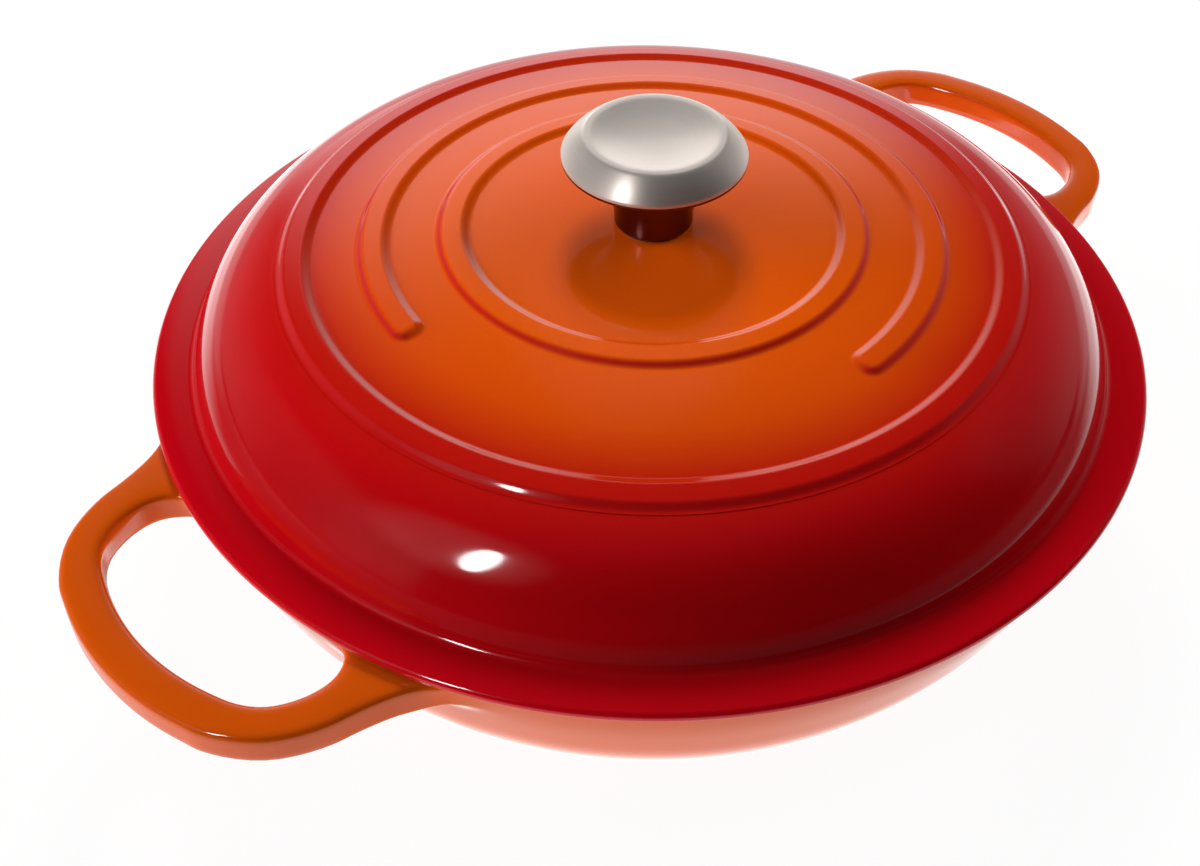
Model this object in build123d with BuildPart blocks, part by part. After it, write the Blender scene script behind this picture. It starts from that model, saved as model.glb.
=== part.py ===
from build123d import *

import os
from math import acos, asin, atan2, cos, degrees, hypot, radians, sin, sqrt, tan

# Shallow round casserole in enamelled cast iron, with a domed lid and a steel knob.
# Millimetres. The origin is the centre of the base on the table, +Z is up and
# the two loop handles point along +X and -X.

# Pot
pot_height = 66.0             # table to the top of the rim
rim_radius = 154.8            # outside of the rim
rim_width = 4.8               # wall measured across the rim, which carries the lid
rim_rounding = 1.3
wall_draft = 21.0             # lean of the wall from upright, degrees
floor_thickness = 4.6
bowl_radius = 52.0            # outside bend from the wall into the base

# Loop handles, cast in one with the pot
handle_projection = 45.0      # outside of the rim to the outermost edge
handle_drop = 0.8             # top of the handles below the rim
handle_thickness = 10.0
handle_front_radius = 76.0
handle_corner_radius = 19.5
handle_half_width = 58.4      # where the sides pass the rim
handle_flare = 16.0           # spread of the sides towards the pot, degrees
handle_bar_width = 11.2
handle_blend_radius = 40.0    # sides into the wall of the pot
handle_root_depth = 4.4       # how far the roots reach in behind the outside of the rim
opening_corner_radius = 13.5  # finger opening, beside the pot
handle_top_rounding = 3.4
handle_bottom_rounding = 3.8

# Lid
lid_overhang = 1.2            # edge of the lid beyond the outside of the rim
lid_rise = 42.3               # rim to the flat seat under the knob
lid_wall = 4.0
flange_width = 12.7
flange_thickness = 4.2
crease_rounding = 2.5         # flange into the shoulder
seat_radius = 20.0            # flat round the knob
dome_radius = 533.0
shoulder_radius = 40.0
locating_ring_width = 4.0     # ring under the lid that keeps it central on the pot
locating_ring_drop = 2.5
locating_ring_clearance = 0.8
locating_ring_rounding = 0.8

# Raised ribs round the lid
rib_count = 3
outer_rib_inset = 2.1         # middle of the outer rib inside the end of the dome
rib_spacing = 24.05
rib_width = 8.0
rib_height = 1.8
rib_draft = 42.0              # lean of a rib's sides from upright, degrees
rib_rounding = 1.6
rib_root = 1.0                # depth of a rib's section inside the wall
rib_gap_azimuth = -139.5      # middle of the bare gap in the middle rib, degrees from +X
rib_gap_half_angle = 48.0

# Knob: two pressed steel shells round a threaded nut
gasket_thickness = 0.8
gasket_radius = 11.0
knob_radius = 27.6
knob_height = 30.6            # gasket to the corner of the dish
knob_sheet = 1.4
dish_radius = 21.3
dish_depth = 2.0
dish_rounding = 2.4           # dish into the crown
crown_height = 6.4            # corner of the dish down to the edge
crown_radius = 20.0
lip_height = 0.9              # upright edge of each shell, where they meet
lip_rounding = 0.5
throat_drop = 2.5             # fall of the underside from the edge to the stem
throat_radius = 15.0
stem_radius = 12.0
foot_rounding = 0.8

# Nut, screw and washers, with plain cylinders for the threads
screw_radius = 3.0
thread_clearance = 0.05
nut_height = 12.0
nut_across_flats = 14.0
nut_spigot_radius = 5.0
nut_spigot_clearance = 0.1
screw_engagement = 8.0        # length of screw above the foot of the stem
screw_hole_clearance = 0.7
screw_head_radius = 6.5
screw_head_height = 3.8
screw_head_rounding = 1.8
slot_width = 1.4
slot_length = 7.6
slot_depth = 1.8
washer_radius = 8.5
washer_thickness = 1.2
lock_washer_radius = 5.6
lock_washer_thickness = 1.6
lock_washer_split = 1.5
washer_bore_clearance = 0.3

# Radii and levels that follow from the sizes
lid_radius = rim_radius + lid_overhang
handle_reach = rim_radius + handle_projection
flange_top = pot_height + flange_thickness
seat_level = pot_height + lid_rise
stem_base = seat_level + gasket_thickness
knob_top = stem_base + knob_height
knob_edge = knob_top - crown_height
shell_joint = knob_edge - lip_height
washer_top = seat_level - lid_wall
lock_washer_top = washer_top - washer_thickness
screw_head_top = lock_washer_top - lock_washer_thickness
nut_seat = stem_base + knob_sheet

# Dome and shoulder of the lid: two tangent arcs from the seat to the crease
crease_radius = lid_radius - flange_width
dome_centre = seat_level - dome_radius
crease_run = crease_radius - seat_radius
crease_climb = flange_top - dome_centre
crease_reach = hypot(crease_run, crease_climb)
centre_reach = dome_radius - shoulder_radius
crease_cosine = (centre_reach**2 + crease_reach**2 - shoulder_radius**2) / (2 * centre_reach * crease_reach)
dome_angle = degrees(atan2(crease_run, crease_climb) - acos(crease_cosine))
shoulder_run = crease_run - centre_reach * sin(radians(dome_angle))
shoulder_climb = crease_climb - centre_reach * cos(radians(dome_angle))
shoulder_angle = degrees(atan2(shoulder_run, shoulder_climb)) - dome_angle

dome_end = seat_radius + dome_radius * sin(radians(dome_angle))
outer_rib_radius = dome_end - outer_rib_inset
rib_radii = [outer_rib_radius - step * rib_spacing for step in range(rib_count)]


def section_plane(azimuth):
    """Upright plane through the axis, whose x points outwards at the azimuth."""
    angle = radians(azimuth)
    return Plane((0, 0, 0), x_dir=(cos(angle), sin(angle), 0), z_dir=(sin(angle), -cos(angle), 0))


def nearest(builder, point):
    """The vertex of a sketch that lies nearest to a point."""
    return builder.vertices().sort_by_distance(point)[0]


def lid_section(azimuth, radii):
    """Half section of the lid at an azimuth, with a rib at each of the radii."""
    edge_radius = flange_thickness / 2
    bore = screw_radius + screw_hole_clearance
    ring_bottom = pot_height - locating_ring_drop
    pot_bore = rim_radius - rim_width - locating_ring_drop * tan(radians(wall_draft))
    ring_outside = pot_bore - locating_ring_clearance
    ring_inside = ring_outside - locating_ring_width
    side_lean = tan(radians(rib_draft))
    half_top = (rib_width - rib_height * side_lean) / 2
    half_foot = half_top + rib_height * side_lean
    half_root = half_foot + rib_root * side_lean
    with BuildSketch(section_plane(azimuth)) as section:
        with BuildLine():
            seat = Line((bore, seat_level), (seat_radius, seat_level))
            dome = JernArc(seat @ 1, (1, 0), dome_radius, -dome_angle)
            shoulder = JernArc(dome @ 1, dome % 1, shoulder_radius, -shoulder_angle)
            flange = Line(shoulder @ 1, (lid_radius - edge_radius, flange_top))
            edge = JernArc(flange @ 1, (1, 0), edge_radius, -180)
            under_seat = Line((bore, washer_top), (seat_radius, washer_top))
            under_dome = JernArc(under_seat @ 1, (1, 0), dome_radius - lid_wall, -dome_angle)
            under_shoulder = JernArc(
                under_dome @ 1, under_dome % 1, shoulder_radius - lid_wall, -shoulder_angle
            )
            Polyline(
                edge @ 1,
                (ring_outside, pot_height),
                (ring_outside, ring_bottom),
                (ring_inside, ring_bottom),
                (ring_inside, pot_height),
                ((under_shoulder @ 1).X, pot_height),
                under_shoulder @ 1,
            )
            Line(under_seat @ 0, seat @ 0)
        make_face()
        fillet(nearest(section, (crease_radius, flange_top)), crease_rounding)
        fillet(section.vertices().group_by(Axis.Y)[0], locating_ring_rounding)
        for radius in radii:
            run = radius - seat_radius
            drop = sqrt(dome_radius**2 - run**2)
            level = dome_centre + drop
            slope = run / drop
            with BuildLine():
                Polyline(
                    (radius - half_root, level + half_root * slope - rib_root),
                    (radius - half_top, level + half_top * slope + rib_height),
                    (radius + half_top, level - half_top * slope + rib_height),
                    (radius + half_root, level - half_root * slope - rib_root),
                    close=True,
                )
            make_face()
            for half, rise in ((half_top, rib_height), (half_foot, 0)):
                for side in (-half, half):
                    fillet(nearest(section, (radius + side, level - side * slope + rise)), rib_rounding)
    return section.sketch


# Plan of one loop handle: sides that spread towards the pot, round corners and a front arc
root_radius = rim_radius - handle_root_depth
front_centre = handle_reach - handle_front_radius
side_normal = Vector(sin(radians(handle_flare)), cos(radians(handle_flare)))
side_distance = side_normal.dot(Vector(rim_radius, handle_half_width))
corner_reach = handle_front_radius - handle_corner_radius
corner_climb = side_distance - handle_corner_radius - front_centre * side_normal.X
corner_turn = degrees(acos(corner_climb / corner_reach))
corner_bearing = 90 - handle_flare - corner_turn
corner_centre = Vector(
    front_centre + corner_reach * cos(radians(corner_bearing)), corner_reach * sin(radians(corner_bearing))
)


def loop_outline(inset):
    """Outline of a loop from the axis of the pot outwards, moved in by an inset."""
    side_start = (0, (side_distance - inset) / side_normal.Y)
    with BuildSketch() as outline:
        with BuildLine():
            side = Line(side_start, corner_centre + side_normal * (handle_corner_radius - inset))
            corner = JernArc(side @ 1, side % 1, handle_corner_radius - inset, -corner_turn)
            JernArc(corner @ 1, corner % 1, handle_front_radius - inset, -corner_bearing)
            mirror(about=Plane.XZ)
            Line(side_start, (0, -side_start[1]))
        make_face()
    return outline.sketch


with BuildSketch() as finger_opening:
    add(loop_outline(handle_bar_width))
    Circle(root_radius, mode=Mode.SUBTRACT)
    fillet(finger_opening.vertices().group_by(Axis.X)[0], opening_corner_radius)

with BuildSketch() as handle_plan:
    Circle(root_radius)
    add(loop_outline(0))
    fillet(handle_plan.vertices().group_by(Axis.X)[0], handle_blend_radius)
    add(finger_opening.sketch, mode=Mode.SUBTRACT)
    mirror(about=Plane.YZ)

# Pot: the handle slab, cleared inside by the hollow, and the wall of the bowl
lean = tan(radians(wall_draft))
base_corner = (rim_radius - pot_height * lean, 0)
rim_bore = rim_radius - rim_width
floor_corner = (rim_bore - (pot_height - floor_thickness) * lean, floor_thickness)

with BuildPart() as pot:
    with BuildSketch(Plane.XY.offset(pot_height - handle_drop - handle_thickness)):
        add(handle_plan.sketch)
    extrude(amount=handle_thickness)
    fillet(pot.edges().group_by(Axis.Z)[-1], handle_top_rounding)
    fillet(pot.edges().group_by(Axis.Z)[0], handle_bottom_rounding)
    with BuildSketch(Plane.XZ) as hollow:
        with BuildLine():
            Polyline(
                (0, floor_thickness), floor_corner, (rim_bore, pot_height), (0, pot_height), close=True
            )
        make_face()
        fillet(nearest(hollow, floor_corner), bowl_radius - rim_width)
    revolve(axis=Axis.Z, mode=Mode.SUBTRACT)
    with BuildSketch(Plane.XZ) as wall:
        with BuildLine():
            Polyline((0, 0), base_corner, (rim_radius, pot_height), (0, pot_height), close=True)
        make_face()
        fillet(nearest(wall, base_corner), bowl_radius)
        add(hollow.sketch_local, mode=Mode.SUBTRACT)
        fillet(wall.vertices().group_by(Axis.Y)[-1], rim_rounding)
    revolve(axis=Axis.Z)

# Lid: a full turn with the inner and outer ribs, then the middle rib round to its bare gap
with BuildPart() as lid:
    rib_turn = 360 - 2 * rib_gap_half_angle
    rib_start = rib_gap_azimuth + rib_gap_half_angle
    revolve(lid_section(rib_start, rib_radii[::2]), axis=Axis.Z)
    revolve(lid_section(rib_start, rib_radii), axis=Axis.Z, revolution_arc=rib_turn)

# Upper shell of the knob: a shallow dish, a convex crown and an upright lip
with BuildPart() as knob_cap:
    dish_sphere = (dish_radius**2 + dish_depth**2) / (2 * dish_depth)
    dish_angle = degrees(asin(dish_radius / dish_sphere))
    with BuildSketch(Plane.XZ):
        with BuildLine():
            dish = JernArc((0, knob_top - dish_depth), (1, 0), dish_sphere, dish_angle)
            crown = RadiusArc(dish @ 1, (knob_radius, knob_edge), crown_radius)
            Polyline(
                crown @ 1,
                (knob_radius, shell_joint),
                (0, shell_joint),
                dish @ 0,
            )
        make_face()
    revolve(axis=Axis.Z)
    offset(amount=-knob_sheet, openings=knob_cap.faces().sort_by(Axis.Z)[0], kind=Kind.INTERSECTION)
    outer_edges = knob_cap.edges().filter_by(GeomType.CIRCLE)
    for radius, level, rounding in (
        (dish_radius, knob_top, dish_rounding),
        (knob_radius, knob_edge, lip_rounding),
    ):
        rings = outer_edges.filter_by(lambda ring: abs(ring.radius - radius) < knob_sheet / 4)
        fillet(rings.sort_by(lambda ring: abs(ring.center().Z - level))[0], rounding)

# Lower shell: lip, underside of the head, throat and stem
throat = (stem_radius, shell_joint - lip_height - throat_drop)
underside_slope = throat_drop / (knob_radius - stem_radius)
inner_stem = stem_radius - knob_sheet
inner_throat = (inner_stem, throat[1] + knob_sheet * (hypot(1, underside_slope) - underside_slope))
inner_edge = inner_throat[1] + (knob_radius - inner_stem) * underside_slope

with BuildSketch(Plane.XZ) as stem_hollow:
    with BuildLine():
        Polyline(
            (0, nut_seat),
            (inner_stem, nut_seat),
            inner_throat,
            (knob_radius, inner_edge),
            (0, inner_edge),
            close=True,
        )
    make_face()
    fillet(nearest(stem_hollow, inner_throat), throat_radius + knob_sheet)

with BuildPart() as knob_stem:
    with BuildSketch(Plane.XZ) as stem_section:
        with BuildLine():
            Polyline(
                (0, stem_base),
                (stem_radius, stem_base),
                throat,
                (knob_radius, shell_joint - lip_height),
                (knob_radius, shell_joint),
                (0, shell_joint),
                close=True,
            )
        make_face()
        fillet(nearest(stem_section, throat), throat_radius)
        fillet(nearest(stem_section, (stem_radius, stem_base)), foot_rounding)
        add(stem_hollow.sketch_local, mode=Mode.SUBTRACT)
    revolve(axis=Axis.Z)
    with Locations((0, 0, nut_seat)):
        Hole(nut_spigot_radius + nut_spigot_clearance)

# Threaded nut, held on the floor of the stem with its spigot in the hole
with BuildPart() as knob_nut:
    with BuildSketch(Plane.XY.offset(nut_seat)):
        RegularPolygon(nut_across_flats / 2, 6, major_radius=False)
    extrude(amount=nut_height)
    with BuildSketch(Plane.XY.offset(stem_base)):
        Circle(nut_spigot_radius)
    extrude(amount=knob_sheet)
    with Locations((0, 0, nut_seat + nut_height)):
        Hole(screw_radius + thread_clearance)

# Gasket between the stem and the enamel
with BuildPart() as knob_gasket:
    with BuildSketch(Plane.XY.offset(seat_level)):
        Circle(gasket_radius)
        Circle(screw_radius + screw_hole_clearance, mode=Mode.SUBTRACT)
    extrude(amount=gasket_thickness)

# Screw from inside the lid: a rounded head with a cross slot
with BuildPart() as knob_screw:
    with BuildSketch(Plane.XY.offset(screw_head_top)):
        Circle(screw_head_radius)
    extrude(amount=-screw_head_height)
    fillet(knob_screw.edges().group_by(Axis.Z)[0], screw_head_rounding)
    with BuildSketch(Plane.XY.offset(screw_head_top - screw_head_height)):
        Rectangle(slot_length, slot_width)
        Rectangle(slot_width, slot_length)
    extrude(amount=slot_depth, mode=Mode.SUBTRACT)
    with BuildSketch(Plane.XY.offset(screw_head_top)):
        Circle(screw_radius)
    extrude(amount=stem_base + screw_engagement - screw_head_top)

# Flat washer against the lid
with BuildPart() as screw_washer:
    with BuildSketch(Plane.XY.offset(lock_washer_top)):
        Circle(washer_radius)
        Circle(screw_radius + washer_bore_clearance, mode=Mode.SUBTRACT)
    extrude(amount=washer_thickness)

# Split lock washer between the flat washer and the head
with BuildPart() as lock_washer:
    with BuildSketch(Plane.XY.offset(screw_head_top)):
        Circle(lock_washer_radius)
        Circle(screw_radius + washer_bore_clearance, mode=Mode.SUBTRACT)
        with Locations((lock_washer_radius / 2, 0)):
            Rectangle(lock_washer_radius, lock_washer_split, mode=Mode.SUBTRACT)
    extrude(amount=lock_washer_thickness)

pieces = {
    "pot": pot,
    "lid": lid,
    "knob_cap": knob_cap,
    "knob_stem": knob_stem,
    "knob_nut": knob_nut,
    "knob_gasket": knob_gasket,
    "knob_screw": knob_screw,
    "screw_washer": screw_washer,
    "lock_washer": lock_washer,
}
os.makedirs("parts", exist_ok=True)
for name, piece in pieces.items():
    piece.part.label = name
    export_step(piece.part, f"parts/{name}.step")
    print(f"{name}: {piece.part.volume / 1000:.1f} cm3")
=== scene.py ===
import math

import bmesh
import bpy
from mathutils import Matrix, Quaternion, Vector


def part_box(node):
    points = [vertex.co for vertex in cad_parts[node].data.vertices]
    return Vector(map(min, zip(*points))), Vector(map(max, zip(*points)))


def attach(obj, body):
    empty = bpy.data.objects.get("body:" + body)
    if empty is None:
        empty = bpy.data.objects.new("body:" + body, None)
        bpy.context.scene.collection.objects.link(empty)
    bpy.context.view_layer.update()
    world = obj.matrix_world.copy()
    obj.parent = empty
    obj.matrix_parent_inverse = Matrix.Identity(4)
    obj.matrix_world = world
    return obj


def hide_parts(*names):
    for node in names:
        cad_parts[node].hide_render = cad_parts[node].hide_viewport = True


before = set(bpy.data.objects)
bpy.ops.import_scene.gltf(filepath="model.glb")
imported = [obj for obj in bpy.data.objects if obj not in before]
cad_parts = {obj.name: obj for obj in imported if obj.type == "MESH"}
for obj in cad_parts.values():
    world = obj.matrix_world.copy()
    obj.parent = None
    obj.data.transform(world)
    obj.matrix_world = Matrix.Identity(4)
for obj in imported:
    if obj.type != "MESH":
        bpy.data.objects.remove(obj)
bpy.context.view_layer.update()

# Shallow enamelled casserole with a ribbed lid and a steel knob, in metres, handles along X
mm = 0.001
print("frame loaded:", ", ".join(sorted(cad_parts)))


# Node writing

class Wire:                                  # an output socket that takes part in sums
    def __init__(self, graph, socket):
        self.graph = graph
        self.socket = socket

    def out(self, name):                     # another output of the same node
        return Wire(self.graph, self.socket.node.outputs[name])

    def __add__(self, other):
        return self.graph.calc("ADD", self, other)

    def __radd__(self, other):
        return self.graph.calc("ADD", other, self)

    def __sub__(self, other):
        return self.graph.calc("SUBTRACT", self, other)

    def __rsub__(self, other):
        return self.graph.calc("SUBTRACT", other, self)

    def __mul__(self, other):
        return self.graph.calc("MULTIPLY", self, other)

    def __rmul__(self, other):
        return self.graph.calc("MULTIPLY", other, self)

    def __truediv__(self, other):
        return self.graph.calc("DIVIDE", self, other)

    def __rtruediv__(self, other):
        return self.graph.calc("DIVIDE", other, self)

    def __abs__(self):
        return self.graph.calc("ABSOLUTE", self)


class Graph:                                 # writes the nodes of one tree
    def __init__(self, tree):
        self.tree = tree

    def node(self, kind, settings=None, sockets=None, out=0):
        made = self.tree.nodes.new(kind)
        for name, value in (settings or {}).items():
            if name == "stops":
                setStops(made.color_ramp, value)
            else:
                setattr(made, name, value)
        for key, value in (sockets or {}).items():
            if isinstance(value, Wire):
                self.tree.links.new(value.socket, made.inputs[key])
            else:
                made.inputs[key].default_value = value
        return Wire(self, made.outputs[out]) if made.outputs else made

    def calc(self, operation, *terms):
        return self.node("ShaderNodeMath", {"operation": operation}, dict(enumerate(terms)))

    def hypot(self, x, y):
        return self.calc("SQRT", x * x + y * y)

    def split(self, vector):                                   # X, Y and Z of a vector
        axes = self.node("ShaderNodeSeparateXYZ", {}, {0: vector})
        return axes.out("X"), axes.out("Y"), axes.out("Z")

    def ramp(self, value, low, high):                          # smooth step between two levels
        sockets = {"Value": value, "From Min": low, "From Max": high}
        return self.node("ShaderNodeMapRange", {"interpolation_type": "SMOOTHSTEP"}, sockets)

    def blend(self, factor, first, second):                    # mix of two colours
        return self.node("ShaderNodeMix", {"data_type": "RGBA"}, {0: factor, 6: first, 7: second}, out=2)

    def noise(self, spot, pitch, detail=2.0, roughness=0.5):
        sockets = {"Vector": spot, "Scale": 1 / pitch, "Detail": detail, "Roughness": roughness}
        return self.node("ShaderNodeTexNoise", {}, sockets)

    def bump(self, height):                                    # relief in metres
        return self.node("ShaderNodeBump", {}, {"Height": height, "Strength": 1.0, "Distance": 1.0})

    def attribute(self, name):
        return self.node("ShaderNodeAttribute", {"attribute_name": name}, {}, out="Fac")


def setStops(ramp, stops):
    while len(ramp.elements) > 1:
        ramp.elements.remove(ramp.elements[-1])
    ramp.elements[0].position, ramp.elements[0].color = stops[0]
    for place, colour in stops[1:]:
        ramp.elements.new(place).color = colour


def newFinish(name):
    material = bpy.data.materials.new(name)
    material.use_nodes = True
    material.node_tree.nodes.clear()
    return material, Graph(material.node_tree)


def coat(graph, sockets):                    # the shader and its output
    shader = graph.node("ShaderNodeBsdfPrincipled", {}, sockets)
    graph.node("ShaderNodeOutputMaterial", {}, {"Surface": shader})


def objectSpot(graph):                       # place on the piece, its radius from the axis and its level
    spot = graph.node("ShaderNodeTexCoord", {}, {}, out="Object")
    x, y, z = graph.split(spot)
    return spot, graph.hypot(x, y), z


# Geometry tree helpers

def newTree(name, sizes):
    tree = bpy.data.node_groups.new(name, "GeometryNodeTree")
    face = tree.interface
    face.new_socket("Geometry", in_out="INPUT", socket_type="NodeSocketGeometry")
    face.new_socket("Material", in_out="INPUT", socket_type="NodeSocketMaterial")
    for label in sizes:
        face.new_socket(label, in_out="INPUT", socket_type="NodeSocketFloat")
    face.new_socket("Geometry", in_out="OUTPUT", socket_type="NodeSocketGeometry")
    graph = Graph(tree)
    inlet = tree.nodes.new("NodeGroupInput")
    return tree, graph, {socket.name: Wire(graph, socket) for socket in inlet.outputs if socket.name}


def closeTree(graph, shape, inlets):
    real = graph.node("GeometryNodeRealizeInstances", {}, {"Geometry": shape})
    painted = graph.node("GeometryNodeSetMaterial", {}, {"Geometry": real, "Material": inlets["Material"]})
    graph.node("NodeGroupOutput", {}, {0: painted})


def growWith(obj, tree, values):             # sets the named inputs and turns the result into a mesh
    grower = obj.modifiers.new(tree.name, "NODES")
    grower.node_group = tree
    for item in tree.interface.items_tree:
        if item.in_out == "INPUT" and item.name in values:
            grower[item.identifier] = values[item.name]
    settle(obj)


def settle(obj):                             # modifiers into a plain mesh
    bpy.context.view_layer.update()
    evaluated = obj.evaluated_get(bpy.context.evaluated_depsgraph_get())
    plain = bpy.data.meshes.new_from_object(evaluated)
    obj.modifiers.clear()
    spare = obj.data
    obj.data = plain
    bpy.data.meshes.remove(spare)
    plain.name = obj.name


# Mesh helpers

def spread(start, end, steps):
    return [start + (end - start) * step / steps for step in range(steps + 1)]


def arc(centre, radius, start, end, steps):  # angles in degrees from straight up, towards the outside
    turns = [math.radians(angle) for angle in spread(start, end, steps)]
    return [(centre[0] + radius * math.sin(turn), centre[1] + radius * math.cos(turn)) for turn in turns]


def fullTurn(steps):                         # angles of a whole turn in radians
    return [math.radians(angle) for angle in spread(0, 360, steps)[:-1]]


def turned(name, profile, angles, sharp, marks=None):          # closed section turned about Z
    bm = bmesh.new()
    layer = bm.verts.layers.float.new("inside")
    rows = []
    for angle in angles:
        row = []
        for index, (radius, level) in enumerate(profile):
            vert = bm.verts.new((radius * math.cos(angle), radius * math.sin(angle), level))
            vert[layer] = marks[index] if marks else 0.0
            row.append(vert)
        rows.append(row)
    count = len(profile)
    for index, row in enumerate(rows):
        other = rows[(index + 1) % len(rows)]
        for k in range(count):
            after = (k + 1) % count
            bm.faces.new((row[k], other[k], other[after], row[after]))
    bmesh.ops.remove_doubles(bm, verts=bm.verts, dist=0.002 * mm)
    return finishMesh(name, bm, sharp)


def finishMesh(name, bm, sharp=None):
    bmesh.ops.recalc_face_normals(bm, faces=bm.faces)
    mesh = bpy.data.meshes.new(name)
    bm.to_mesh(mesh)
    bm.free()
    mesh.polygons.foreach_set("use_smooth", [True] * len(mesh.polygons))
    if sharp:
        mesh.set_sharp_from_angle(angle=math.radians(sharp))
    obj = bpy.data.objects.new(name, mesh)
    bpy.context.scene.collection.objects.link(obj)
    return obj


def mount(obj, body, slot, *nodes):          # rides on a body in place of its CAD nodes
    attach(obj, body)
    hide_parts(*nodes)


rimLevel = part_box("pot")[1].z
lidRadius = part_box("lid")[1].x
rimRadius = lidRadius - 1.2 * mm
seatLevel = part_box("knob_gasket")[0].z


# Enamel: a glossy glaze over iron, sprayed with a darker edge, and a pale glaze inside

glaze = {
    "ripplePitch": 9 * mm, "rippleHeight": 0.010 * mm,     # slow unevenness of the fired coat
    "peelPitch": 1.6 * mm, "peelHeight": 0.0010 * mm,      # fine orange peel
    "pitPitch": 11 * mm, "pitRadius": 0.22 * mm, "pitDepth": 0.02 * mm, "pitShare": 0.06,
    "pitColour": (0.03, 0.02, 0.02, 1), "pitShade": 0.7,
    "dropPitch": 1.1 * mm, "dropEdge": (0.62, 0.75),       # fine drops of the spray
    "cloudPitch": 28 * mm, "wobblePitch": 2.2 * mm, "wobble": 0.08,
    "roughness": 0.075, "roughnessSpread": 0.05, "bareRoughness": 0.4, "ior": 1.52,
    "cream": (0.72, 0.62, 0.46, 1), "creamDeep": (0.62, 0.51, 0.36, 1),
    "bareEdge": (0.045, 0.036, 0.032, 1),
}


def glazeRelief(graph, spot):
    ripple = graph.noise(spot, glaze["ripplePitch"], 1.0)
    peel = graph.noise(spot, glaze["peelPitch"], 1.0)
    cells = graph.node("ShaderNodeTexVoronoi", {}, {"Vector": spot, "Scale": 1 / glaze["pitPitch"]})
    draw = graph.node("ShaderNodeSeparateColor", {}, {0: cells.out("Color")})
    chosen = graph.calc("LESS_THAN", draw, glaze["pitShare"])
    edge = glaze["pitRadius"] / glaze["pitPitch"]
    pits = graph.ramp(cells, edge, 0.3 * edge) * chosen
    height = ripple * glaze["rippleHeight"] + peel * glaze["peelHeight"] - pits * glaze["pitDepth"]
    return graph.bump(height), pits


def sprayDrops(graph, spot):
    return graph.ramp(graph.noise(spot, glaze["dropPitch"], 3.0, 0.6), *glaze["dropEdge"])


def enamel(name, outerColour):               # outerColour gives the glaze outside
    material, graph = newFinish(name)
    spot, radius, level = objectSpot(graph)
    normal, pits = glazeRelief(graph, spot)
    clouds = graph.noise(spot, glaze["cloudPitch"], 3.0, 0.6)
    wobble = (graph.noise(spot, glaze["wobblePitch"]) - 0.5) * glaze["wobble"]
    outer = outerColour(graph, spot, radius, level)
    cream = graph.blend(clouds, glaze["cream"], glaze["creamDeep"])
    inside = graph.attribute("inside") + wobble                # 0 outside, 0.5 on the bare edge, 1 inside
    bare = graph.ramp(inside, 0.30, 0.36) * (1 - graph.ramp(inside, 0.64, 0.70))
    colour = graph.blend(graph.ramp(inside, 0.46, 0.54), outer, cream)
    colour = graph.blend(bare, colour, glaze["bareEdge"])
    colour = graph.blend(pits * glaze["pitShade"], colour, glaze["pitColour"])
    rough = glaze["roughness"] + (clouds - 0.5) * glaze["roughnessSpread"] + bare * glaze["bareRoughness"]
    coat(graph, {"Base Color": colour, "Roughness": rough, "IOR": glaze["ior"], "Normal": normal})
    return material


lidPaint = {
    "spray": [                                             # share of the lid's radius, and the colour there
        (0.00, (0.68, 0.085, 0.002, 1)),
        (0.40, (0.68, 0.085, 0.002, 1)),                   # middle of the dome
        (0.56, (0.60, 0.061, 0.002, 1)),
        (0.68, (0.44, 0.008, 0.003, 1)),
        (0.79, (0.42, 0.002, 0.004, 1)),                   # outer rib
        # the shoulder is a darker red than the flange, partly the spray and partly painted shade on the
        # steep shoulder
        (0.87, (0.34, 0.001, 0.003, 1)),                   # shoulder
        (1.00, (0.45, 0.001, 0.006, 1)),                   # flange
    ],
    "driftPitch": 45 * mm, "drift": 5 * mm,
    "drops": (0.42, 0.022, 0.004, 1), "dropShare": 0.18,
    # the inward slopes of the ribs are tinted a darker orange-brown, partly a spray tint and partly painted
    # shade
    "innerFlank": (0.40, 0.026, 0.002, 1), "innerFlankShare": 0.5,
    "outerFlank": (0.40, 0.004, 0.005, 1), "outerFlankShare": 0.9,
}


def lidColour(graph, spot, radius, level):
    drift = (graph.noise(spot, lidPaint["driftPitch"]) - 0.5) * lidPaint["drift"]
    share = (radius + drift) / lidRadius
    colour = graph.node("ShaderNodeValToRGB", {"stops": lidPaint["spray"]}, {0: share})
    colour = graph.blend(sprayDrops(graph, spot) * lidPaint["dropShare"], colour, lidPaint["drops"])
    for flankTintAndShade in ("innerFlank", "outerFlank"):
        colour = graph.blend(graph.attribute(flankTintAndShade) * lidPaint[flankTintAndShade + "Share"], colour, lidPaint[flankTintAndShade])
    return colour


potPaint = {
    "orange": (0.56, 0.080, 0.002, 1), "deep": (0.49, 0.056, 0.002, 1), "base": (0.40, 0.030, 0.006, 1),
    "cloudPitch": 40 * mm, "cloudShare": 0.7, "dropShare": 0.15,
    "baseShare": 0.7, "baseEdge": (1 * mm, 9 * mm),
}


def potColour(graph, spot, radius, level):
    clouds = graph.noise(spot, potPaint["cloudPitch"], 3.0)
    deep = clouds * potPaint["cloudShare"] + sprayDrops(graph, spot) * potPaint["dropShare"]
    sprayed = graph.blend(deep, potPaint["orange"], potPaint["deep"])
    under = 1 - graph.ramp(level, *potPaint["baseEdge"])
    return graph.blend(under * potPaint["baseShare"], sprayed, potPaint["base"])


lidEnamel = enamel("lidEnamel", lidColour)
potEnamel = enamel("potEnamel", potColour)
print("enamel ready")


# Lid: a turned shell, with the ribs raised out of it by a geometry tree

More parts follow.
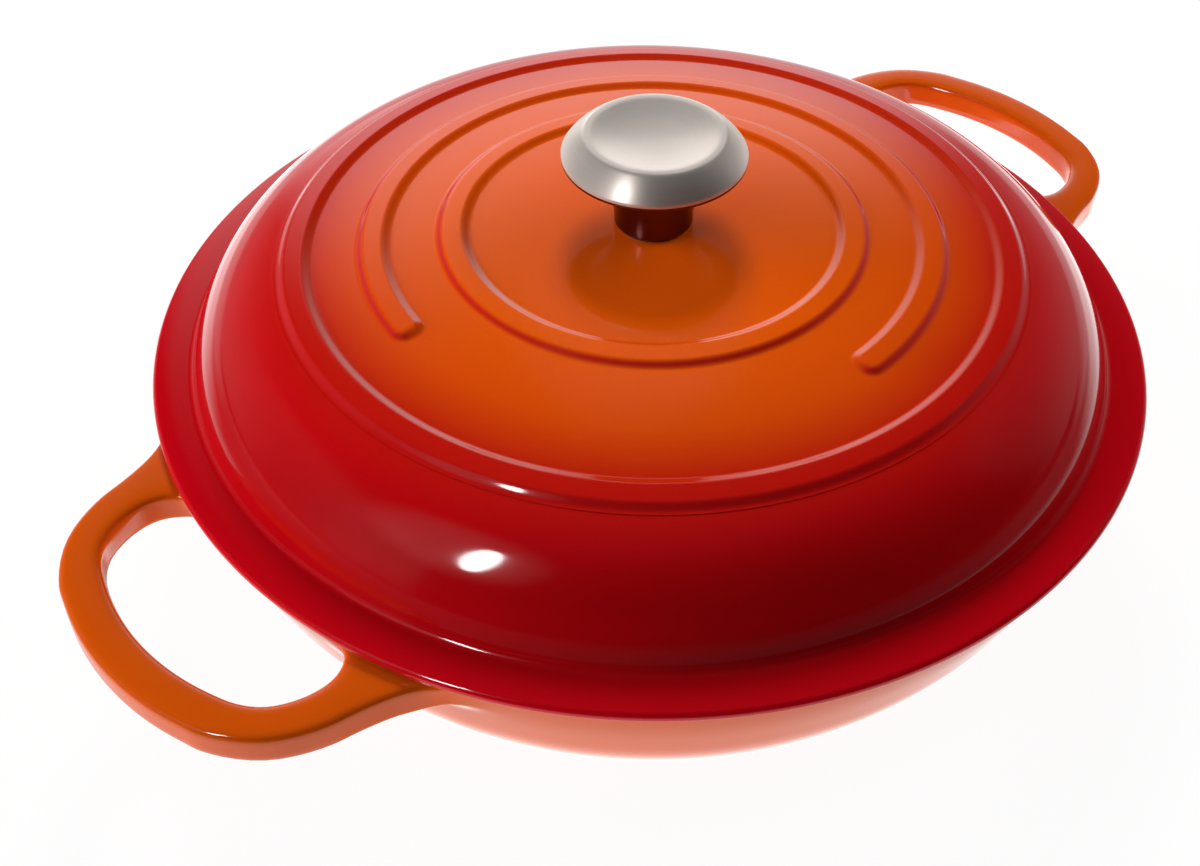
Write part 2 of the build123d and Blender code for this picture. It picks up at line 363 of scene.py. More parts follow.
lidShape = {
    "flangeWidth": 12.7 * mm, "flangeThickness": 4.2 * mm, "flangeDrop": 0.7 * mm, "flangeFlat": 6.5 * mm,
    "creaseRounding": 2.5 * mm, "shoulderRadius": 40 * mm, "domeRadius": 533 * mm, "wall": 4 * mm,
    "seatRadius": 20 * mm, "seatInside": 12 * mm, "bore": 3.7 * mm, "boreEase": 0.4 * mm, "boss": 10 * mm,
    "bareInner": 152.6 * mm, "creamOuter": 151 * mm,       # the bare edge ends between these
    "ringOutside": 148.24 * mm, "ringWidth": 4 * mm, "ringDrop": 2.5 * mm, "ringRounding": 0.8 * mm,
    "ringRoot": (0.4 * mm, 1.2 * mm, 1.4 * mm, 3 * mm),    # ease, inner run and rise, shell's foot
    "ribCount": 3, "ribInset": 2.1 * mm, "ribSpacing": 24.05 * mm, "ribWidth": 8 * mm,
    "ribHeight": 1.4 * mm, "ribEdge": 3.4 * mm, "gapAzimuth": -139.5, "gapHalfAngle": 48.0,
}


def solveDome(s):                            # two tangent arcs from the seat to the crease
    flangeTop = rimLevel + s["flangeThickness"]
    domeCentre = seatLevel - s["domeRadius"]
    run = lidRadius - s["flangeWidth"] - s["seatRadius"]
    climb = flangeTop - domeCentre
    reach = math.hypot(run, climb)
    arm = s["domeRadius"] - s["shoulderRadius"]
    cosine = (arm**2 + reach**2 - s["shoulderRadius"]**2) / (2 * arm * reach)
    turn = math.atan2(run, climb) - math.acos(cosine)
    shoulder = (s["seatRadius"] + arm * math.sin(turn), domeCentre + arm * math.cos(turn))
    return flangeTop, domeCentre, turn, shoulder


def domeRow(s, radii, domeCentre, depth=0.0):              # points of the dome, or of its inside at a depth
    sphere = s["domeRadius"] - depth
    return [(r, domeCentre + math.sqrt(sphere**2 - (r - s["seatRadius"])**2)) for r in radii]


def domeRadii(s, domeEnd, ribs):             # closer together on the flanks of the ribs
    radii = spread(s["seatRadius"], domeEnd, 30)
    for rib in ribs:
        for side in (-0.5, 0.5):
            middle = rib + side * s["ribWidth"]
            radii += spread(middle - 0.6 * s["ribEdge"], middle + 0.6 * s["ribEdge"], 14)
    radii.sort()
    kept = [radii[0]]
    for radius in radii[1:]:
        if radius - kept[-1] > 0.15 * mm:
            kept.append(radius)
    return kept


def lidSection(s):
    flangeTop, domeCentre, turn, shoulder = solveDome(s)
    dome = math.degrees(turn)
    domeEnd = s["seatRadius"] + s["domeRadius"] * math.sin(turn)
    ribs = [domeEnd - s["ribInset"] - step * s["ribSpacing"] for step in range(s["ribCount"])]
    fillet = s["creaseRounding"]
    filletLevel = flangeTop + fillet
    filletReach = math.sqrt((s["shoulderRadius"] + fillet)**2 - (filletLevel - shoulder[1])**2)
    filletCentre = (shoulder[0] + filletReach, filletLevel)
    bend = math.degrees(math.atan2(filletReach, filletLevel - shoulder[1]))
    edge = (s["flangeThickness"] - s["flangeDrop"]) / 2
    ease = s["boreEase"]
    outer = [(s["bore"], seatLevel - ease), (s["bore"] + ease, seatLevel), (s["seatInside"], seatLevel)]
    outer += domeRow(s, domeRadii(s, domeEnd, ribs), domeCentre)
    outer += arc(shoulder, s["shoulderRadius"], dome, bend, 32)[1:]
    outer += arc(filletCentre, fillet, bend + 180, 180, 8)[1:]
    outer += [(lidRadius - s["flangeFlat"], flangeTop - 0.4 * s["flangeDrop"])]
    outer += arc((lidRadius - edge, rimLevel + edge), edge, 6, 150, 12)
    lip = [(lidRadius - edge, rimLevel), (s["bareInner"], rimLevel)]
    under = lidUnder(s, domeCentre, turn, shoulder)
    marks = [0.0] * len(outer) + [0.5] * len(lip) + [1.0] * len(under)
    return outer + lip + under, marks, ribs


def lidUnder(s, domeCentre, turn, shoulder):  # locating ring and the inside of the dome
    rootEase, rootRun, rootRise, shellFoot = s["ringRoot"]
    rounding = s["ringRounding"]
    ringOut = s["ringOutside"]
    ringIn = ringOut - s["ringWidth"]
    corner = rimLevel - s["ringDrop"] + rounding
    under = [(s["creamOuter"], rimLevel), (ringOut + rootEase, rimLevel), (ringOut, rimLevel - rootEase)]
    under += arc((ringOut - rounding, corner), rounding, 90, 180, 4)
    under += arc((ringIn + rounding, corner), rounding, 180, 270, 4)
    under += [(ringIn, rimLevel), (ringIn - rootRun, rimLevel + rootRise)]
    inner = s["shoulderRadius"] - s["wall"]
    low = math.degrees(math.acos((rimLevel + shellFoot - shoulder[1]) / inner))
    under += arc(shoulder, inner, low, math.degrees(turn), 14)
    innerEnd = s["seatRadius"] + (s["domeRadius"] - s["wall"]) * math.sin(turn)
    under += domeRow(s, spread(innerEnd, s["seatRadius"], 16)[1:], domeCentre, s["wall"])
    return under + [(s["boss"], seatLevel - s["wall"]), (s["bore"], seatLevel - s["wall"])]


def lidAngles(s):                            # finer steps where the middle rib ends
    ends = [s["gapAzimuth"] + side * s["gapHalfAngle"] for side in (-1, 1)]
    angles = spread(-180, 180, 216)[:-1]
    for end in ends:
        angles = [a for a in angles if abs((a - end + 180) % 360 - 180) > 3.4]
        angles += [end + step for step in spread(-3.2, 3.2, 22)]
    return sorted(math.radians((a + 180) % 360 - 180) for a in angles)


def ribTree(count):
    names = ["Outer Radius", "Spacing", "Width", "Height", "Edge", "Gap Azimuth", "Gap Half Angle"]
    tree, graph, size = newTree("raiseRibs", names)
    x, y = graph.split(graph.node("GeometryNodeInputPosition"))[:2]
    radius = graph.hypot(x, y)
    facing = x * graph.calc("COSINE", size["Gap Azimuth"]) + y * graph.calc("SINE", size["Gap Azimuth"])
    away = graph.calc("ARCCOSINE", facing / radius)            # angle from the middle of the gap
    half = size["Width"] / 2
    rise = inner = outer = 0.0
    for step in range(count):
        rib = size["Outer Radius"] - size["Spacing"] * step
        across = abs(radius - rib)
        if step == 1:                                          # the middle rib stops in round ends
            past = graph.calc("MAXIMUM", (size["Gap Half Angle"] - away) * rib + half, 0.0)
            across = graph.hypot(across, past)
        level = graph.ramp(across, half + size["Edge"] / 2, half - size["Edge"] / 2)
        # the flank marks peak on the rib slopes; the tint they carry on the inward slopes is partly painted
        # shade
        flankTintAndShade = level * (1 - level) * 4
        outward = graph.calc("GREATER_THAN", radius, rib)
        rise = level + rise
        outer = flankTintAndShade * outward + outer
        inner = flankTintAndShade * (1 - outward) + inner
    normal = graph.node("GeometryNodeInputNormal")
    onTop = graph.calc("GREATER_THAN", graph.split(normal)[2], 0.3)
    marked = size["Geometry"]
    for label, value in (("innerFlank", inner), ("outerFlank", outer)):
        marked = graph.node("GeometryNodeStoreNamedAttribute", {"data_type": "FLOAT", "domain": "POINT"},
                            {"Geometry": marked, "Name": label, "Value": value * onTop})
    lift = graph.node("ShaderNodeVectorMath", {"operation": "SCALE"},
                      {0: normal, "Scale": rise * onTop * size["Height"]})
    raised = graph.node("GeometryNodeSetPosition", {}, {"Geometry": marked, "Offset": lift})
    closeTree(graph, raised, size)
    return tree


lidProfile, lidMarks, ribRadii = lidSection(lidShape)
lid = turned("lidShell", lidProfile, lidAngles(lidShape), 35, lidMarks)
growWith(lid, ribTree(lidShape["ribCount"]), {
    "Material": lidEnamel, "Outer Radius": ribRadii[0], "Spacing": lidShape["ribSpacing"],
    "Width": lidShape["ribWidth"], "Height": lidShape["ribHeight"], "Edge": lidShape["ribEdge"],
    "Gap Azimuth": math.radians(lidShape["gapAzimuth"]),
    "Gap Half Angle": math.radians(lidShape["gapHalfAngle"]),
})
mount(lid, "lid", "lid_enamel", "lid")
print("lid:", len(lid.data.polygons), "faces")


# Pot: one subdivision cage, with the loop handles drawn out of the wall

potShape = {
    "draft": 21.0, "bend": 52 * mm, "bendSteps": 7, "bendStart": 6.0, "floor": 4.6 * mm, "recess": 0.5 * mm,
    "rimWidth": 4.8 * mm, "rimEase": 0.05 * mm, "bareOuter": 1.3 * mm, "bareInner": 1.2 * mm,
    "boreStep": 0.5 * mm, "boreDrop": 1.3 * mm,
    "recessRings": (30 * mm, 60 * mm, 82 * mm), "footRings": (85 * mm, 90 * mm),           # radii
    "wallRings": (42 * mm, 49 * mm), "boreRings": (60 * mm, 52 * mm, 44 * mm),             # levels
    "floorRings": (88 * mm, 60 * mm, 30 * mm),                                             # radii
    "handleTop": 65.2 * mm, "handleThickness": 10 * mm, "topEase": 3.4 * mm, "bottomEase": 3.6 * mm,
    "crown": 0.3 * mm, "frontInset": 0.4 * mm, "frontRadius": 90 * mm, "cornerRadius": 33 * mm,
    "innerCorner": 17 * mm, "halfWidth": 58 * mm, "flare": 13.0, "bar": 12 * mm, "blend": 40 * mm,
    "openingCorner": 13.5 * mm, "rootDepth": 4.4 * mm, "rootWall": 2.2 * mm, "rootDrop": 0.4 * mm,
}


def swell(before, after):                    # a cage point stands out by this much to land on its circle
    return 6 / (4 + math.cos(math.radians(before)) + math.cos(math.radians(after)))


def polar(centre, radius, angle):
    turn = math.radians(angle)
    return Vector((centre[0] + radius * math.cos(turn), centre[1] + radius * math.sin(turn)))


def sweep(centre, radius, start, end):       # fine points along an arc in plan
    return [polar(centre, radius, angle) for angle in spread(start, end, 40)]


def walk(points, steps):                     # even steps along a line of points
    lengths = [0.0]
    for first, second in zip(points, points[1:]):
        lengths.append(lengths[-1] + (second - first).length)
    places = []
    for target in spread(0, lengths[-1], steps):
        k = next(k for k in range(1, len(points)) if lengths[k] >= target - 1e-12)
        part = (target - lengths[k - 1]) / (lengths[k] - lengths[k - 1])
        places.append(points[k - 1].lerp(points[k], part))
    return places


def handleStations(s):                       # outer and inner edge of the loop, from its front to its root
    front = (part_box("pot")[1].x - s["frontInset"] - s["frontRadius"], 0)
    lean = 90 - s["flare"]
    normal = polar((0, 0), 1, lean)
    sideDistance = normal.dot(Vector((rimRadius, s["halfWidth"])))
    root = rimRadius - s["rootDepth"]
    wall = rimRadius - s["rootWall"]

    def tangentCentre(offset, distance):     # centre of an arc beside the side line and the wall
        return polar((0, 0), distance, lean - math.degrees(math.acos((sideDistance + offset) / distance)))

    def crossing(centre, radius):            # azimuth between an arc's centre and where it meets the wall
        far = centre.length
        return math.degrees(math.acos((far**2 + wall**2 - radius**2) / (2 * far * wall)))

    def rootArc(centre, radius, start, azimuth):               # from the end of the side line to the wall
        end = polar((0, 0), wall, azimuth) - centre
        turn = math.degrees(math.atan2(end.y, end.x)) % 360
        return sweep(centre, radius, start, turn)

    bar = s["bar"]
    blend = tangentCentre(s["blend"], root + s["blend"])
    opening = tangentCentre(-bar - s["openingCorner"], root + s["openingCorner"])
    azimuth = [math.degrees(math.atan2(c.y, c.x)) for c in (blend, opening)]
    outside = azimuth[0] - crossing(blend, s["blend"])
    inside = azimuth[1] + crossing(opening, s["openingCorner"])
    tails = (rootArc(blend, s["blend"], lean + 180, outside),
             rootArc(opening, s["openingCorner"], lean, inside))
    rows = []
    for inset, radius, tail in zip((0, bar), (s["cornerRadius"], s["innerCorner"]), tails):
        arm = s["frontRadius"] - inset - radius
        offset = sideDistance - inset - radius - normal.x * front[0]
        bearing = lean - math.degrees(math.acos(offset / arm))
        corner = sweep(polar(front, arm, bearing), radius, bearing, lean)
        row = walk(sweep(front, s["frontRadius"] - inset, 0, bearing), 6)
        row += walk(corner, 2)[1:] + walk([corner[-1]] + tail, 5)[1:]
        row.insert(0, Vector((row[1].x, -row[1].y)))
        rows.append([b - (a - 2 * b + c) / 6 for a, b, c in zip(row, row[1:], row[2:])])
    return list(zip(*rows)), outside, inside


def potRings(s):                             # radius, level and inside mark of each ring of the cage
    lean = math.tan(math.radians(s["draft"]))
    turn = 90 - s["draft"]
    steps = s["bendSteps"]

    def wallRing(level, inset=0.0):
        return rimRadius - inset - (rimLevel - level) * lean

    def bendRings(inset, floor):
        radius = s["bend"] - inset
        corner = wallRing(floor, inset) - radius * math.tan(math.radians(turn / 2))
        swollen = radius * swell(turn / steps, turn / steps)
        rings = arc((corner, floor + radius), swollen, 180 - s["bendStart"], 180 - turn, steps)
        return [(r, max(z, floor)) for r, z in rings]

    rings = [(r, s["recess"], 0) for r in s["recessRings"]]
    rings += [(r, 0, 0) for r in s["footRings"]]
    rings += [(r, z, 0) for r, z in bendRings(0, 0)]
    rings += [(wallRing(z), z, 0) for z in s["wallRings"]]
    rootRow = len(rings)
    top = s["handleTop"] - s["rootDrop"]
    bottom = s["handleTop"] - s["handleThickness"]
    rings += [(wallRing(z), z, 0) for z in (bottom, bottom + s["bottomEase"], top - s["topEase"], top)]
    bore = rimRadius - s["rimWidth"]
    eased = rimLevel - s["rimEase"]
    rings += [(rimRadius, eased, 0), (rimRadius - s["bareOuter"], rimLevel, 0.42)]
    rings += [(rimRadius - s["rimWidth"] / 2, rimLevel, 0.5), (bore + s["bareInner"], rimLevel, 0.58)]
    rings += [(bore, eased, 1), (bore - s["boreStep"], rimLevel - s["boreDrop"], 1)]
    rings += [(wallRing(z, s["rimWidth"]), z, 1) for z in s["boreRings"]]
    rings += [(r, z, 1) for r, z in reversed(bendRings(s["rimWidth"], s["floor"]))]
    rings += [(r, s["floor"], 1) for r in s["floorRings"]]
    return rings, rootRow


def wallGrid(bm, layer, rings, turns):       # a row of cage points for each ring
    grid = []
    for radius, level, mark in rings:
        row = []
        for index, angle in enumerate(turns):
            before = (angle - turns[index - 1]) % 360
            after = (turns[(index + 1) % len(turns)] - angle) % 360
            place = polar((0, 0), radius * swell(before, after), angle)
            vert = bm.verts.new((place.x, place.y, level))
            vert[layer] = mark
            row.append(vert)
        grid.append(row)
    return grid


def closeWall(bm, layer, grid, openCells, poles):              # open where the handles root
    count = len(grid[0])
    for r in range(len(grid) - 1):
        for k in range(count):
            if (r, k) not in openCells:
                n = (k + 1) % count
                bm.faces.new((grid[r][k], grid[r][n], grid[r + 1][n], grid[r + 1][k]))
    for row, level, mark in ((grid[0], poles[0], 0), (grid[-1], poles[1], 1)):
        pole = bm.verts.new((0, 0, level))
        pole[layer] = mark
        for k in range(count):
            bm.faces.new((row[k], row[(k + 1) % count], pole))


def rootLoop(rows, root):                    # edge of an opening in the wall, ordered as a bar section
    low, lower, upper, top = rows
    out, inn = root[0], root[-1]
    loop = [top[k] for k in root] + [upper[inn], lower[inn]]
    return loop + [low[k] for k in reversed(root)] + [lower[out], upper[out]]


def barSection(bm, s, pair, flip, side):     # cage points round the bar at one station
    top, low = s["handleTop"], s["handleTop"] - s["handleThickness"]
    crown = top + s["crown"]
    high, deep = s["topEase"], s["bottomEase"]
    out, inn = [Vector((flip * p.x, flip * side * p.y)) for p in pair]
    across = (inn - out).normalized()
    ring = [(out, top), (out + across * high, crown), (inn - across * high, crown), (inn, top)]
    ring += [(inn, top - high), (inn, low + deep)]
    ring += [(inn, low), (inn - across * deep, low), (out + across * deep, low), (out, low)]
    ring += [(out, low + deep), (out, top - high)]
    return [bm.verts.new((p.x, p.y, z)) for p, z in ring]


def buildPot(s):
    stations, outside, inside = handleStations(s)
    rings, rootRow = potRings(s)
    between = [inside + (outside - inside) * part for part in (0.3, 0.7)]
    half = between + spread(outside, 180 - outside, 22) + [180 - angle for angle in reversed(between)]
    turns = spread(-inside, inside, 5) + half
    turns += spread(180 - inside, 180 + inside, 5) + [angle + 180 for angle in half]
    count = len(turns)
    bm = bmesh.new()
    layer = bm.verts.layers.float.new("inside")
    grid = wallGrid(bm, layer, rings, turns)

    def column(angle):
        return min(range(count), key=lambda k: abs((turns[k] - angle + 180) % 360 - 180))

    roots = []                               # four columns round the open cells at each end of a handle
    openCells = set()
    for base in (0, 180):
        for side in (1, -1):
            root = [column(base + side * a) for a in (outside, between[1], between[0], inside)]
            roots.append(root)
            for first, second in zip(root, root[1:]):
                low = first if (first + 1) % count == second else second
                openCells |= {(rootRow + step, low) for step in range(3)}
    closeWall(bm, layer, grid, openCells, (s["recess"], s["floor"]))
    rootRows = grid[rootRow:rootRow + 4]
    for base, flip in ((0, 1), (2, -1)):
        loops = [rootLoop(rootRows, roots[base])]
        loops += [barSection(bm, s, pair, flip, 1) for pair in reversed(stations)]
        loops += [barSection(bm, s, pair, flip, -1) for pair in stations[1:]]
        loops += [rootLoop(rootRows, roots[base + 1])]
        for first, second in zip(loops, loops[1:]):
            for k in range(len(first)):
                n = (k + 1) % len(first)
                bm.faces.new((first[k], first[n], second[n], second[k]))
    pot = finishMesh("potCasting", bm)
    smooth = pot.modifiers.new("smooth", "SUBSURF")
    smooth.levels = smooth.render_levels = 2
    settle(pot)
    pot.data.materials.clear()
    pot.data.materials.append(potEnamel)
    return pot


pot = buildPot(potShape)
mount(pot, "pot", "pot_enamel", "pot")
print("pot:", len(pot.data.polygons), "faces")


# Knob: two pressed shells in steel, satin on top and polished on the stem

brushing = {
    "linePitch": 1.1 * mm / 1.5, "smudgePitch": 9 * mm, "lineShare": 0.6, "smudgeShare": 0.4,
    "light": 1.08, "dark": 0.89, "lineRoughness": 0.05, "smudgeRoughness": 0.02,
    "rimEdge": (20 * mm, 23 * mm), "rimRoughness": 0.13, "lineTurn": 0.25,
}


def steel(name, tone, roughness, relief, dish=1.0, rim=1.0, stretch=0.0):      # spun round the axis
    material, graph = newFinish(name)
    spot, radius, level = objectSpot(graph)
    rings = graph.node("ShaderNodeCombineXYZ", {}, {0: radius, 1: level})
    lines = graph.noise(rings, brushing["linePitch"], 4.0, 0.7)
    smudge = graph.noise(spot, brushing["smudgePitch"], 3.0, 0.6)
    light = tuple(min(c * brushing["light"], 1.0) for c in tone) + (1,)
    dark = tuple(c * brushing["dark"] for c in tone) + (1,)
    colour = graph.blend(lines * brushing["lineShare"] + smudge * brushing["smudgeShare"], dark, light)
    outside = graph.ramp(radius, *brushing["rimEdge"])
    rough = roughness + (lines - 0.5) * brushing["lineRoughness"]
    rough = rough + (smudge - 0.5) * brushing["smudgeRoughness"] + outside * brushing["rimRoughness"]
    metallic = dish if dish == rim else dish + outside * (rim - dish)
    coat(graph, {
        "Base Color": colour, "Metallic": metallic, "Roughness": rough,
        "Normal": graph.bump(lines * relief),
        "Anisotropic": stretch, "Anisotropic Rotation": brushing["lineTurn"],
    })
    return material


satinSteel = steel("satinSteel", (0.88, 0.79, 0.72), 0.29, 0.0007 * mm, dish=0.74, rim=0.78, stretch=0.7)
# the stem's dark red tone is a painted reflection of the shaded red lid round its foot, not the steel's own
# colour
polishedSteelPaintedReflection = steel("polishedSteelPaintedReflection", (0.15, 0.055, 0.05), 0.24, 0.0002 * mm)
zincSteel = steel("zincSteel", (0.55, 0.56, 0.58), 0.36, 0.0006 * mm)

knobShape = {
    "dishRadius": 20.7 * mm, "dishDepth": 2.1 * mm, "dishRounding": 3.8 * mm, "sheet": 1.4 * mm,
    "crown": 6.6 * mm, "crownRadius": 20 * mm, "lip": 0.9 * mm, "capRounding": 0.5 * mm,
    "hemInset": 0.4 * mm, "backInset": 0.5 * mm, "backDrop": 1.8 * mm,
    "throatDrop": 2.5 * mm, "throatReach": 11 * mm, "throatInside": 16.4 * mm, "stemRounding": 0.35 * mm,
    "stemRadius": 12 * mm, "stemFlat": 1.5 * mm, "footRounding": 0.8 * mm, "spigotHole": 5.1 * mm,
}
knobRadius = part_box("knob_cap")[1].x
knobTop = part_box("knob_cap")[1].z
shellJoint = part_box("knob_cap")[0].z
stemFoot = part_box("knob_stem")[0].z
knobAngles = fullTurn(144)


def roundedCorner(before, corner, after, radius, steps):       # replaces a corner by an arc
    corner, before, after = Vector(corner), Vector(before), Vector(after)
    first, second = (before - corner).normalized(), (after - corner).normalized()
    half = math.acos(max(-1, min(1, first.dot(second)))) / 2
    length = radius / math.tan(half)
    centre = corner + (first + second).normalized() * radius / math.sin(half)
    start, end = corner + first * length, corner + second * length
    points = []
    for part in spread(0, 1, steps):
        points.append(tuple(centre + (start.lerp(end, part) - centre).normalized() * radius))
    return points


def capSection(s):
    edge = shellJoint + s["lip"]
    corner = edge + s["crown"]
    sphere = (s["dishRadius"]**2 + s["dishDepth"]**2) / (2 * s["dishDepth"])
    tilt = math.degrees(math.asin(s["dishRadius"] / sphere))
    centre = (0, corner - s["dishDepth"] + sphere)
    dish = arc(centre, sphere, 180, 180 - tilt, 16)
    chord = Vector((knobRadius - s["dishRadius"], -s["crown"]))
    sag = math.sqrt(s["crownRadius"]**2 - chord.length_squared / 4)
    bulge = Vector((s["dishRadius"], corner)) + chord / 2 + Vector((chord.y, -chord.x)).normalized() * sag
    first = math.degrees(math.atan2(s["dishRadius"] - bulge.x, corner - bulge.y))
    last = math.degrees(math.atan2(knobRadius - bulge.x, edge - bulge.y))
    crown = arc(bulge, s["crownRadius"], first, last, 12)
    rim = roundedCorner(dish[-2], (s["dishRadius"], corner), crown[1], s["dishRounding"], 8)
    rim = [(r, min(z, knobTop)) for r, z in rim]
    brim = roundedCorner(crown[-2], (knobRadius, edge), (knobRadius, shellJoint), s["capRounding"], 5)
    hem = knobRadius - s["sheet"]
    under = [(knobRadius, shellJoint), (hem, shellJoint), (hem, edge - s["hemInset"])]
    under += [(s["dishRadius"] - s["backInset"], corner - s["backDrop"])]
    back = arc(centre, sphere + s["sheet"], 180 - tilt * 0.9, 180, 6)
    inner = [point for point in dish if point[0] < rim[0][0] - 0.2 * mm]
    side = [point for point in crown if rim[-1][0] + 0.2 * mm < point[0] < brim[0][0] - 0.1 * mm]
    return inner + rim + side + brim + under + back


def stemSection(s):
    low = shellJoint - s["lip"]
    sheet = s["sheet"]
    stemRadius = s["stemRadius"]
    throat = (stemRadius, low - s["throatDrop"])
    outer = [(knobRadius - sheet, shellJoint), (knobRadius, shellJoint)]
    outer += roundedCorner((knobRadius, shellJoint), (knobRadius, low), throat, s["stemRounding"], 4)
    start = low - s["throatDrop"] * (1 - s["throatReach"] / (knobRadius - stemRadius))
    drop = start - stemFoot - s["stemFlat"]
    for angle in spread(0, 90, 24):                            # the neck narrows all the way to its foot
        turn = math.radians(angle)
        flare = s["throatReach"] * (1 - math.sin(turn))
        outer.append((stemRadius + flare, start - drop * (1 - math.cos(turn))))
    outer += roundedCorner(throat, (stemRadius, stemFoot), (0, stemFoot), s["footRounding"], 6)
    outer += [(s["spigotHole"], stemFoot), (s["spigotHole"], stemFoot + sheet)]
    innerFoot = (stemRadius - sheet, stemFoot + sheet)
    innerThroat = (stemRadius - sheet, throat[1] + sheet)
    innerBrim = (knobRadius - sheet, low + sheet * 0.75)
    return outer + [innerFoot] + roundedCorner(innerFoot, innerThroat, innerBrim, s["throatInside"], 8)


cap = turned("knobCap", capSection(knobShape), knobAngles, 40)
cap.data.materials.append(satinSteel)
mount(cap, "knob", "knob_steel", "knob_cap")
stem = turned("knobStem", stemSection(knobShape), knobAngles, 40)
stem.data.materials.append(polishedSteelPaintedReflection)
mount(stem, "knob", "knob_steel", "knob_stem")
print("knob ready")


# Screw: a rounded head with a cross slot, and a thread wound up the shank by a geometry tree

screwShape = {
    "headRadius": 6.5 * mm, "headHeight": 3.8 * mm, "headRounding": 1.8 * mm, "headEase": 0.2 * mm,
    "headFlat": 2 * mm, "coreRadius": 2.55 * mm, "threadRadius": 2.98 * mm, "pitch": 1.0 * mm,
    "tip": 0.5 * mm, "slotWidth": 1.4 * mm, "slotLength": 7.6 * mm, "slotDepth": 1.8 * mm,
}
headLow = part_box("knob_screw")[0].z
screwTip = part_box("knob_screw")[1].z


def threadTree():
    names = ["Base", "Length", "Pitch", "Core Radius", "Thread Radius"]
    tree, graph, size = newTree("windThread", names)
    depth = (size["Thread Radius"] - size["Core Radius"]) * 0.55
    path = graph.node("GeometryNodeCurveSpiral", {}, {
        "Resolution": 24, "Rotations": size["Length"] / size["Pitch"], "Height": size["Length"],
        "Start Radius": size["Thread Radius"] - depth, "End Radius": size["Thread Radius"] - depth,
    })
    ridge = graph.node("GeometryNodeCurvePrimitiveCircle", {}, {"Resolution": 6, "Radius": depth})
    wound = graph.node("GeometryNodeCurveToMesh", {},
                       {"Curve": path, "Profile Curve": ridge, "Fill Caps": True})
    lift = graph.node("ShaderNodeCombineXYZ", {}, {2: size["Base"]})
    placed = graph.node("GeometryNodeTransform", {}, {"Geometry": wound, "Translation": lift})
    smooth = graph.node("GeometryNodeSetShadeSmooth", {}, {"Geometry": placed})
    joined = graph.node("GeometryNodeJoinGeometry")
    for shape in (size["Geometry"], smooth):
        tree.links.new(shape.socket, joined.socket.node.inputs[0])
    closeTree(graph, joined, size)
    return tree


def slotCutter(s):                           # two crossed bars
    bm = bmesh.new()
    for wide, deep in ((s["slotLength"], s["slotWidth"]), (s["slotWidth"], s["slotLength"])):
        made = bmesh.ops.create_cube(bm, size=1.0)
        bmesh.ops.scale(bm, vec=(wide, deep, 2 * s["slotDepth"]), verts=made["verts"])
        bmesh.ops.translate(bm, vec=(0, 0, headLow), verts=made["verts"])
    return finishMesh("slotCutter", bm)


def buildScrew(s):
    headTop = headLow + s["headHeight"]
    head, rounding, ease = s["headRadius"], s["headRounding"], s["headEase"]
    core, tip = s["coreRadius"], s["tip"]
    section = [(0, headLow), (s["headFlat"], headLow), (head - rounding, headLow)]
    section += arc((head - rounding, headLow + rounding), rounding, 180, 90, 6)
    section += [(head, headTop - ease), (head - ease, headTop)]
    section += [(core, headTop), (core, screwTip - tip), (core - tip, screwTip), (0, screwTip)]
    screw = turned("knobScrew", section, fullTurn(64), 30)
    cutter = slotCutter(s)
    cut = screw.modifiers.new("slot", "BOOLEAN")
    cut.object = cutter
    cut.operation = "DIFFERENCE"
    cut.solver = "EXACT"
    cut.use_self = True
    settle(screw)
    bpy.data.objects.remove(cutter)
    growWith(screw, threadTree(), {
        "Material": zincSteel, "Base": headTop + tip, "Length": screwTip - headTop - 2 * tip,
        "Pitch": s["pitch"], "Core Radius": core, "Thread Radius": s["threadRadius"],
    })
    return screw


screw = buildScrew(screwShape)
mount(screw, "fastener", "fastener_steel", "knob_screw")


# Nut, washers and gasket keep their CAD shapes and get their finishes here

gasketLook = {
    "black": (0.012, 0.012, 0.013, 1), "dusty": (0.035, 0.034, 0.033, 1), "dustPitch": 3 * mm,
    "grainPitch": 0.4 * mm, "grainHeight": 0.004 * mm, "roughness": 0.55, "dustRoughness": 0.2,
}


def rubber(name, s):
    material, graph = newFinish(name)
    spot = objectSpot(graph)[0]
    dust = graph.noise(spot, s["dustPitch"], 4.0, 0.6)
    grain = graph.noise(spot, s["grainPitch"])
    coat(graph, {
        "Base Color": graph.blend(dust, s["black"], s["dusty"]),
        "Roughness": s["roughness"] + dust * s["dustRoughness"],
        "Normal": graph.bump(grain * s["grainHeight"]),
    })
    return material


nodeFinishes = {
    "knob_nut": zincSteel, "screw_washer": zincSteel, "lock_washer": zincSteel,
    "knob_gasket": rubber("gasketRubber", gasketLook),
}
for nodeName, finish in nodeFinishes.items():
    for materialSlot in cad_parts[nodeName].material_slots:
        materialSlot.material = finish
print("fastener ready")


# Stage: camera, a white table, a pale room that darkens behind the camera, and four lamps

studio = {
    "eye": (-0.28456, -0.28532, 0.40423), "aim": (-0.03619, -0.03668, 0.0681), "roll": 1.169,
    "lens": 48.896, "sensor": 36, "shift": -0.0417, "clip": 0.01, "lampAim": (0, 0, 0.08),
}
viewWay = Vector(studio["aim"]) - Vector(studio["eye"])       # level direction in which the camera looks
viewWay.z = 0
viewWay.normalize()


def addCamera(s):
    eye, aim = Vector(s["eye"]), Vector(s["aim"])
    lens = bpy.data.cameras.new("camera")
    lens.sensor_fit = "HORIZONTAL"
    lens.sensor_width = s["sensor"]
    lens.lens = s["lens"]
    lens.shift_x = s["shift"]
    lens.clip_start = s["clip"]
    camera = bpy.data.objects.new("camera", lens)
    camera.location = eye
    level = (aim - eye).to_track_quat("-Z", "Y")
    camera.rotation_euler = (level @ Quaternion((0, 0, 1), math.radians(s["roll"]))).to_euler()
    bpy.context.scene.collection.objects.link(camera)
    bpy.context.scene.camera = camera


def groundAxes(x, y):                        # how far along the camera's look, and to its left
    return x * viewWay.x + y * viewWay.y, y * viewWay.x - x * viewWay.y


